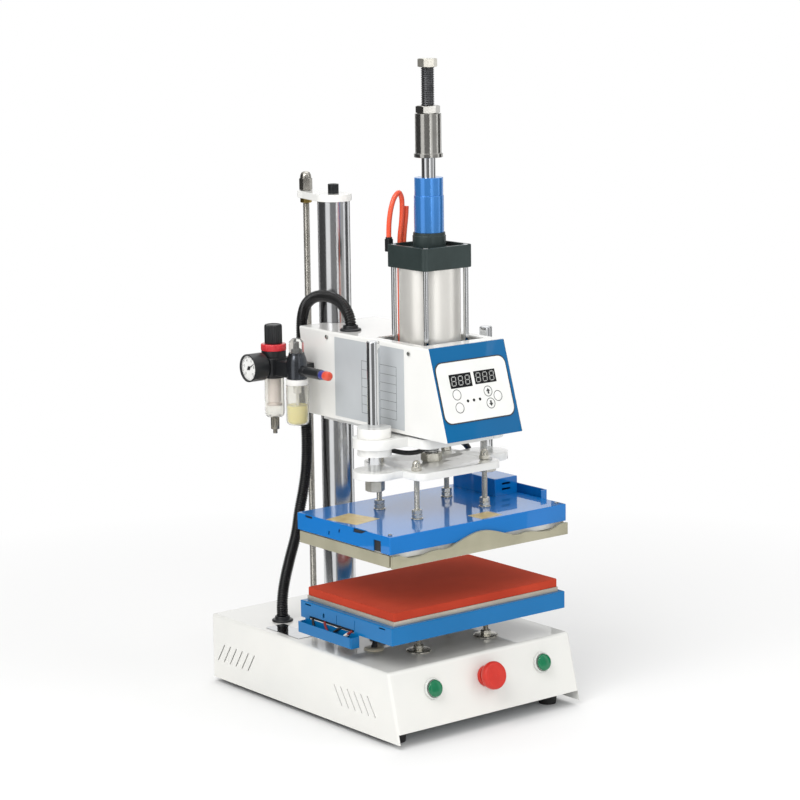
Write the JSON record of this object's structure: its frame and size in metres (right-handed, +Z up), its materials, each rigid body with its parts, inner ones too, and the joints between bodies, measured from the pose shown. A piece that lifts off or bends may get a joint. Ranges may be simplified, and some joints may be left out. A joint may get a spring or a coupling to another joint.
{
  "type": "pneumatic heat press",
  "caption": "Bench heat press: a column-mounted arm with an air cylinder lowers a heated head onto a silicone-padded heated bed over a control cabinet.",
  "frame": {"origin": "centre of the press's bounding box, at the plane of the foot bottoms", "axes": "+Z up, -Y towards the operator (sloped front with the buttons), +X to the operator's right"},
  "size_m": [0.344, 0.4676, 0.935],
  "materials": {
    "white_paint": "gloss",
    "blue_paint": "gloss",
    "zinc_sheet": "satin",
    "plated_steel": "satin",
    "chrome": "polished",
    "aluminium": "satin",
    "dark_aluminium": "satin",
    "blue_aluminium": "gloss",
    "drawer_metal": "satin",
    "unit_case": "satin",
    "black_plastic": "satin",
    "dark_grey_plastic": "satin",
    "pale_ring": "gloss",
    "green_button": "gloss",
    "red_button": "satin",
    "white_membrane": "satin",
    "orange_tube": "gloss",
    "clear_bowl": "gloss",
    "oil_bowl": "gloss",
    "red_silicone": "matte",
    "black_rubber": "matte"
  },
  "bodies": {
    "base": {"base_housing": "white_paint", "base_floor": "zinc_sheet", "foot_front_left": "black_rubber", "foot_front_right": "black_rubber", "foot_rear_left": "black_rubber", "foot_rear_right": "black_rubber", "power_supply": "unit_case", "mains_inlet": "black_plastic", "start_collar_left": "pale_ring", "start_collar_right": "pale_ring", "estop_collar": "dark_grey_plastic", "column": "chrome", "top_plate": "white_paint", "conduit": "black_rubber", "conduit_gland_base": "black_plastic", "bed_leg_front_left": "chrome", "bed_leg_front_right": "chrome", "bed_leg_rear_left": "chrome", "bed_leg_rear_right": "chrome", "bed_tray": "blue_paint", "bed_plate": "aluminium", "silicone_pad": "red_silicone"},
    "arm": {"arm_cover": "white_paint", "control_panel": "blue_paint", "keypad_membrane": "white_membrane", "arm_casting": "white_paint", "guide_bush_left": "white_paint", "guide_bush_right": "white_paint", "cylinder_lower_cap": "dark_aluminium", "cylinder_barrel": "aluminium", "cylinder_upper_cap": "dark_aluminium", "stroke_bumper": "blue_aluminium", "solenoid_valve": "aluminium", "air_tubes": "orange_tube", "sensor_cable": "black_rubber", "frl_body": "black_plastic", "filter_bowl": "clear_bowl", "lubricator_bowl": "oil_bowl", "gauge_case": "black_plastic", "conduit_gland_arm": "black_plastic", "heater_cable": "black_rubber"},
    "ram": {"piston_rod": "chrome", "ram_plate": "white_paint", "guide_post_left": "chrome", "guide_post_right": "chrome", "hanger_front_left": "chrome", "hanger_front_right": "chrome", "hanger_rear_left": "chrome", "hanger_rear_right": "chrome", "head_cover": "blue_paint", "heater_block": "aluminium"},
    "drawer": {"die_drawer": "drawer_metal"},
    "stroke_stop": {"stop_sleeve": "plated_steel"},
    "start_left": {"start_button_left": "green_button"},
    "start_right": {"start_button_right": "green_button"},
    "estop_push_body": {"estop_plunger": "dark_grey_plastic"},
    "estop_twist_body": {"estop_head": "red_button"},
    "knob": {"regulator_knob": "black_plastic"},
    "needle": {"gauge_needle": "black_plastic"},
    "screw": {"height_screw": "plated_steel"}
  },
  "joints": [
    {"name": "arm_height", "type": "slide", "parent": "base", "child": "arm", "axis": [0, 0, 1], "range_m": [-0.035, 0.06], "deforming": ["conduit"]},
    {"name": "screw_turn", "type": "hinge", "parent": "base", "child": "screw", "pos_m": [0, 0.19982, 0.4], "axis": [0, 0, -1], "range_deg": [-6310, 10810]},
    {"name": "press_stroke", "type": "slide", "parent": "arm", "child": "ram", "axis": [0, 0, -1], "range_m": [0, 0.0275], "deforming": ["heater_cable"]},
    {"name": "drawer_slide", "type": "slide", "parent": "ram", "child": "drawer", "axis": [0, -1, 0], "range_m": [0, 0.2]},
    {"name": "stroke_adjust", "type": "slide", "parent": "ram", "child": "stroke_stop", "axis": [0, 0, 1], "range_m": [0, 0.05]},
    {"name": "start_left_press", "type": "slide", "parent": "base", "child": "start_left", "axis": [0, 0.9686, -0.2486], "range_m": [0, 0.004], "stiffness_N_per_m": 250, "springref_m": -0.003},
    {"name": "start_right_press", "type": "slide", "parent": "base", "child": "start_right", "axis": [0, 0.9686, -0.2486], "range_m": [0, 0.004], "stiffness_N_per_m": 250, "springref_m": -0.003},
    {"name": "estop_press", "type": "slide", "parent": "base", "child": "estop_push_body", "axis": [0, 0.9686, -0.2486], "range_m": [0, 0.005]},
    {"name": "estop_twist", "type": "hinge", "parent": "estop_push_body", "child": "estop_twist_body", "pos_m": [0.001, -0.20564, 0.07247], "axis": [0, 0.9686, -0.2486], "range_deg": [0, 40], "stiffness_Nm_per_rad": 0.05, "springref_deg": -5.73},
    {"name": "regulator_turn", "type": "hinge", "parent": "arm", "child": "knob", "pos_m": [-0.105, 0.14382, 0.53], "axis": [0, 0, -1], "range_deg": [-1800, 720]},
    {"name": "needle_turn", "type": "hinge", "parent": "arm", "child": "needle", "pos_m": [-0.149, 0.14382, 0.487], "axis": [1, 0, 0], "range_deg": [-195, 75]}
  ],
  "couplings": [
    {"joint": "screw_turn", "follows": "arm_height", "rad_per_m": 3141.6},
    {"joint": "needle_turn", "follows": "regulator_turn", "ratio": 0.1}
  ]
}
